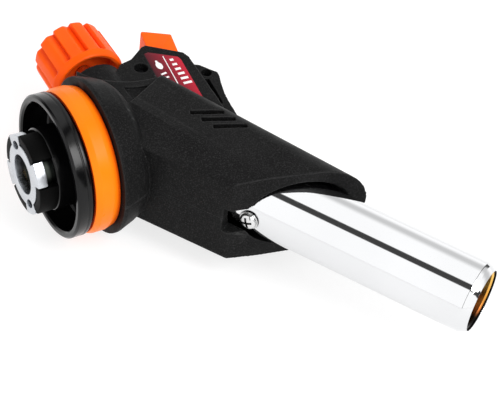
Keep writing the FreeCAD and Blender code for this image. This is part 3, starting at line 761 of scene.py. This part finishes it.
SCREW_STATION = 42.5
SCREW = axes(BURNER @ Vector((0, 0, SCREW_STATION * MM)), burner_way(-1, 0, 0))
SHANK_RADIUS = 1.45
SHANK_END = 7.5
COLLAR_RADIUS = 3.0
DOME_RADIUS = 2.6
DOME_RISE = 1.1
HEAD_LOW = 11.05
HEAD_HIGH = 13.05
DOME_LOW = HEAD_LOW + 0.45
CROSS_TURNS = (20, 110)
CROSS_SIZE = (3.5, 0.75, 2.0)
dome = [(DOME_RADIUS * math.cos(angle), HEAD_HIGH - DOME_RISE + DOME_RISE * math.sin(angle))
        for angle in [math.radians(15 * step) for step in range(0, 7)]]
dome[-1] = (0.0, HEAD_HIGH)
screw = lathe("screw_head", SCREW, [
    (0.0, SHANK_END), (SHANK_RADIUS, SHANK_END), (SHANK_RADIUS, HEAD_LOW),
    (COLLAR_RADIUS - 0.05, HEAD_LOW), (COLLAR_RADIUS, HEAD_LOW + 0.1),
    (COLLAR_RADIUS, HEAD_LOW + 0.35), (COLLAR_RADIUS - 0.1, DOME_LOW),
    (DOME_RADIUS, DOME_LOW), (DOME_RADIUS - 0.05, DOME_LOW + 0.1), *dome], 72)
cross = []
for turn in CROSS_TURNS:
    bpy.ops.mesh.primitive_cube_add(size=1)
    tool = bpy.context.object
    tool.matrix_world = (SCREW @ Matrix.Rotation(math.radians(turn), 4, "Z")
                         @ Matrix.Translation((0, 0, HEAD_HIGH * MM))
                         @ Matrix.Diagonal((*[size * MM for size in CROSS_SIZE], 1)))
    cross.append(tool)
bpy.context.view_layer.update()
placed(without(screw, cross), "torch_body", "tube_screw", STEEL)

# ---- trigger and label ----

TRIGGER_CORNERS = [(50.7, 42.4), (59.4, 37.5), (56.8, 24.76), (47.5, 26.7)]
TRIGGER_HALF = 5.0
button = pressed("trigger_button", LEVEL, [rounded(TRIGGER_CORNERS, 0.7, 5)],
                 -TRIGGER_HALF, TRIGGER_HALF, 0.35)
placed(button, "trigger", "trigger", TRIGGER_ORANGE)

LABEL_CORNERS = [(45.1, 28.6), (46.6, 28.8), (54.5, 23.5), (54.8, 22.0), (52.7, 1.5), (51.6, 1.6),
                 (43.8, 12.4), (43.9, 17.4)]
LABEL_UNDER = 7.41
LABEL_TOP = 7.91
sheet = pressed("label_sheet", LEVEL, [rounded(LABEL_CORNERS, 0.4, 4)],
                LABEL_UNDER, LABEL_TOP, 0.08)
placed(sheet, "torch_body", "label_plate", LABEL)


def bar(start, stop, width):
    """The corners of a straight bar between two points."""
    run = (Vector(stop) - Vector(start)).normalized() * width / 2
    side = Vector((-run.y, run.x))
    return [tuple(Vector(start) + side), tuple(Vector(start) - side),
            tuple(Vector(stop) - side), tuple(Vector(stop) + side)]


FLAME_STEPS = 24
FLAME_TIP = 0.28


def flame(centre, height):
    """A plain flame drop with its tip along +Y."""
    points = []
    for step in range(FLAME_STEPS):
        angle = 2 * math.pi * step / FLAME_STEPS
        tip = FLAME_TIP if math.sin(angle) > 0.9 else 0.0
        lift = height * (0.5 * math.sin(angle) + tip)
        points.append((centre[0] + 0.3 * height * math.cos(angle), centre[1] + lift))
    return points


RULE_START = (50.1, 25.4)
RULE_END = (48.3, 9.6)
RULE_WIDTH = 0.28
WIDE_BARS = 6
WIDE_TOP = 22.9
WIDE_PITCH = 2.3
WIDE_WIDTH = 1.0
NARROW_BARS = 3
NARROW_TOP = 17.6
NARROW_PITCH = 2.0
NARROW_WIDTH = 0.7
FLAME_PLACE = (47.0, 21.6)
FLAME_HEIGHT = 3.4
INK_BELOW = 0.02
INK_ABOVE = 0.05

marks = [bar(RULE_START, RULE_END, RULE_WIDTH)]
for index in range(WIDE_BARS):
    level = WIDE_TOP - WIDE_PITCH * index
    start = (51.3 - 0.2 * index, level)
    stop = (52.6 + 0.12 * index - 0.1, level - 0.1)
    marks.append(bar(start, stop, WIDE_WIDTH))
marks.append(flame(FLAME_PLACE, FLAME_HEIGHT))
for index in range(NARROW_BARS):
    level = NARROW_TOP - NARROW_PITCH * index
    marks.append(bar((45.7, level), (47.6 - 0.1 * index, level + 0.3), NARROW_WIDTH))
ink = [pressed("mark_%d" % index, LEVEL, [outline], LABEL_TOP - INK_BELOW, LABEL_TOP + INK_ABOVE, 0.01)
       for index, outline in enumerate(marks)]
ink_layer = combined("label_marks", ink)
placed(ink_layer, "torch_body", "label_plate", INK)

# ---- floor, light and camera ----

def card(name, place, target, side, power):
    """A soft square area light, turned to its target."""
    light = bpy.data.lights.new(name, "AREA")
    light.shape = "RECTANGLE"
    light.size = side
    light.size_y = side
    light.energy = power
    thing = bpy.data.objects.new(name, light)
    thing.location = place
    thing.rotation_euler = (Vector(target) - Vector(place)).to_track_quat("-Z", "Y").to_euler()
    scene.collection.objects.link(thing)


FLOOR_REACH = 3.0
FLOOR_GLOW = 0.74
WORLD_STRENGTH = 1.3

low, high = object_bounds()
middle = (Vector(low) + Vector(high)) / 2
floor_mesh = bpy.data.meshes.new("floor")
floor_corners = [(x * FLOOR_REACH, y * FLOOR_REACH, low[2])
                 for x, y in ((-1, -1), (1, -1), (1, 1), (-1, 1))]
floor_mesh.from_pydata(floor_corners, [], [(0, 1, 2, 3)])
floor = bpy.data.objects.new("floor", floor_mesh)
scene.collection.objects.link(floor)
floor_nodes = Nodes("pale_floor")
paper = floor_nodes.ramp(floor_nodes.noise(8, 3), [(0.3, (0.32, 0.32, 0.32)),
                                                   (0.7, (0.34, 0.34, 0.34))])
floor_nodes.set(Base_Color=paper, Roughness=0.85, Specular_IOR_Level=0.1,
                Emission_Color=(1.0, 1.0, 1.0, 1.0), Emission_Strength=FLOOR_GLOW)
floor_mesh.materials.append(floor_nodes.material)

world = bpy.data.worlds.new("studio")
scene.world = world
world.use_nodes = True
tree = world.node_tree
background = tree.nodes["Background"]
background.inputs["Strength"].default_value = WORLD_STRENGTH
sky_way = tree.nodes.new("ShaderNodeTexCoord").outputs["Generated"]


def along(direction):
    """How far the looked-at direction runs along the given one, from -1 to 1."""
    made = tree.nodes.new("ShaderNodeVectorMath")
    made.operation = "DOT_PRODUCT"
    made.inputs[1].default_value = direction
    tree.links.new(sky_way, made.inputs[0])
    return made.outputs["Value"]


def worked_out(operation, *values):
    """The output of a maths node fed with numbers or with other nodes' outputs."""
    made = tree.nodes.new("ShaderNodeMath")
    made.operation = operation
    for socket, value in zip(made.inputs, values):
        if hasattr(value, "is_output"):
            tree.links.new(value, socket)
        else:
            socket.default_value = value
    return made.outputs["Value"]


def shaded(distance, half_width, softness, left):
    """The share of light left: the least within the half width, then softly back to all."""
    shade = tree.nodes.new("ShaderNodeMapRange")
    shade.interpolation_type = "SMOOTHSTEP"
    shade.inputs["From Min"].default_value = half_width
    shade.inputs["From Max"].default_value = half_width + softness
    shade.inputs["To Min"].default_value = left
    shade.inputs["To Max"].default_value = 1.0
    tree.links.new(distance, shade.inputs["Value"])
    return shade.outputs["Result"]


def flag(angle, half_width, softness, left):
    """A dark band along the burner, at an angle in degrees round its axis."""
    turn = math.radians(angle)
    centre = burner_way(1, 0, 0) * math.cos(turn) + Vector((0, 0, 1)) * math.sin(turn)
    normal = burner_way(0, 0, 1).cross(centre).normalized()
    facing = along(centre)
    distance = worked_out("ABSOLUTE", along(normal))
    behind = worked_out("LESS_THAN", facing, 0.0)
    return worked_out("MAXIMUM", shaded(distance, half_width, softness, left), behind)


def hoop(level, half_width, softness, left):
    """A dark hoop round the burner's axis, in front of its mouth."""
    distance = worked_out("ABSOLUTE", worked_out("SUBTRACT", along(burner_way(0, 0, 1)), level))
    return shaded(distance, half_width, softness, left)


upper_flag = flag(112, half_width=0.125, softness=0.05, left=0.05)
side_flag = flag(32, half_width=0.06, softness=0.34, left=0.60)
mouth_hoop = hoop(0.12, half_width=0.06, softness=0.08, left=0.08)
light_left = worked_out("MULTIPLY", worked_out("MULTIPLY", upper_flag, side_flag), mouth_hoop)
tint = tree.nodes.new("ShaderNodeMix")
tint.data_type = "RGBA"
tint.inputs["A"].default_value = (0.0, 0.0, 0.0, 1)
tint.inputs["B"].default_value = (1.0, 1.0, 1.0, 1)
tree.links.new(light_left, tint.inputs["Factor"])
tree.links.new(tint.outputs["Result"], background.inputs["Color"])
KEY_PLACE = (0.25, -0.60, 0.72)
KEY_SIDE = 0.5
KEY_POWER = 6
card("key", KEY_PLACE, middle, KEY_SIDE, KEY_POWER)

CAMERA_PLACE = Vector((-0.15585, -0.32884, 0.34376))
CAMERA_AIM = Vector((0.04863, -0.03621, 0.0))
CAMERA_ROLL = 8.88
CAMERA_LENS = 121.3
camera_data = bpy.data.cameras.new("camera")
camera_data.lens = CAMERA_LENS
camera_data.clip_start = 0.01
camera = bpy.data.objects.new("camera", camera_data)
camera.location = CAMERA_PLACE
aim = (CAMERA_AIM - CAMERA_PLACE).to_track_quat("-Z", "Y").to_matrix()
camera.rotation_euler = (aim @ Matrix.Rotation(math.radians(CAMERA_ROLL), 3, "Z")).to_euler()
scene.collection.objects.link(camera)
scene.camera = camera
